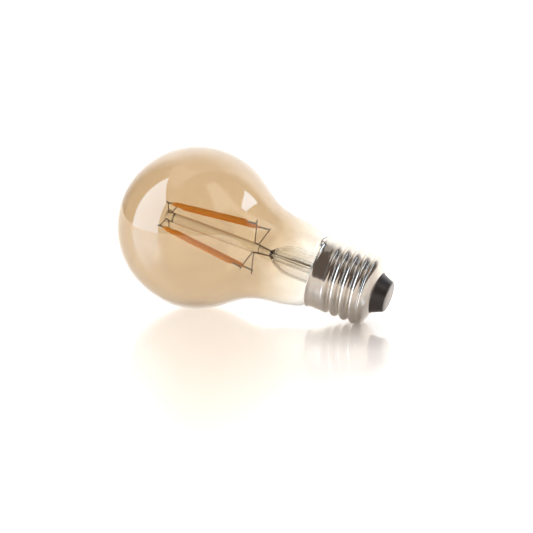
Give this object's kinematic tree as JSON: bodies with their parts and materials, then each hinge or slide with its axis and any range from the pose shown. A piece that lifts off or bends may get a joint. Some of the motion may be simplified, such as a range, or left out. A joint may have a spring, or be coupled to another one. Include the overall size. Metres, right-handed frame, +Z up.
{
  "type": "smart light bulb",
  "caption": "Smart filament lamp lying on its side: amber glass globe around filament strips on a clear glass stem, with a metal screw cap for a lampholder.",
  "frame": {"origin": "on the surface the lamp lies on, under the middle of its bounding box", "axes": "+Z up from the surface; +X along the lying lamp towards its screw cap, seen from above; the lamp is symmetric across the XZ plane apart from its thread, wires and driver. The lamp's own axis lies in the XZ plane and points 15.173 degrees below +X towards the cap."},
  "size_m": [0.104, 0.06, 0.06],
  "materials": {
    "amber_glass": "clear blown soda-lime glass with a thin amber coating inside the globe that fades out at the neck",
    "clear_glass": "clear fused lead glass",
    "post_glass": "clear glass rod, warm from the lit coating around it",
    "phosphor": "orange-yellow silicone with phosphor",
    "filament_ceramic": "white sapphire ceramic strip",
    "filament_pin_steel": "flat tinned steel tabs",
    "support_wire_metal": "drawn nickel wire",
    "lead_wire_metal": "copper-clad dumet wire",
    "antenna_sheath": "black insulated antenna wire",
    "cap_nickel": "nickel-plated rolled sheet, polished",
    "insulator_black": "black glass-like moulded insulator",
    "contact_metal": "nickel-plated stamped contact",
    "cement": "baked capping cement",
    "solder": "tin solder",
    "sleeve_plastic": "white insulating sleeve",
    "board_green": "green solder mask on glass-epoxy board",
    "capacitor_sleeve": "dark shrink sleeve over an aluminium can",
    "ferrite": "sintered ferrite",
    "copper_winding": "enamelled copper wire",
    "chip_black": "black moulded epoxy",
    "resistor_body": "lacquered resistor body",
    "shield_tin": "tin-plated shield"
  },
  "bodies": {
    "root": {"glass_envelope": "amber_glass", "stem_flare": "clear_glass", "exhaust_tube": "clear_glass", "stem_post": "post_glass", "top_bead": "clear_glass", "filament_phosphor_1": "phosphor", "filament_substrate_1": "filament_ceramic", "filament_phosphor_2": "phosphor", "filament_substrate_2": "filament_ceramic", "filament_phosphor_3": "phosphor", "filament_substrate_3": "filament_ceramic", "filament_phosphor_4": "phosphor", "filament_substrate_4": "filament_ceramic", "filament_pins": "filament_pin_steel", "lower_support_wire_1": "support_wire_metal", "lower_support_wire_2": "support_wire_metal", "lower_support_wire_3": "support_wire_metal", "lower_support_wire_4": "support_wire_metal", "top_anchor_1": "support_wire_metal", "top_anchor_2": "support_wire_metal", "lead_in_wire_live": "lead_wire_metal", "lead_in_wire_return": "lead_wire_metal", "antenna_wire": "antenna_sheath", "cap_shell": "cap_nickel", "cap_insulator": "insulator_black", "centre_contact": "contact_metal", "capping_cement": "cement", "rim_solder": "solder", "neutral_lead": "lead_wire_metal", "live_lead": "lead_wire_metal", "board_sleeve": "sleeve_plastic", "driver_board": "board_green", "smoothing_capacitor": "capacitor_sleeve", "choke_core": "ferrite", "choke_winding": "copper_winding", "bridge_rectifier": "chip_black", "fusible_resistor": "resistor_body", "resistor_tail": "lead_wire_metal", "driver_chip": "chip_black", "driver_chip_legs": "solder", "radio_board": "board_green", "radio_header_pins": "solder", "radio_shield_can": "shield_tin", "radio_chip": "chip_black"}
  },
  "joints": []
}
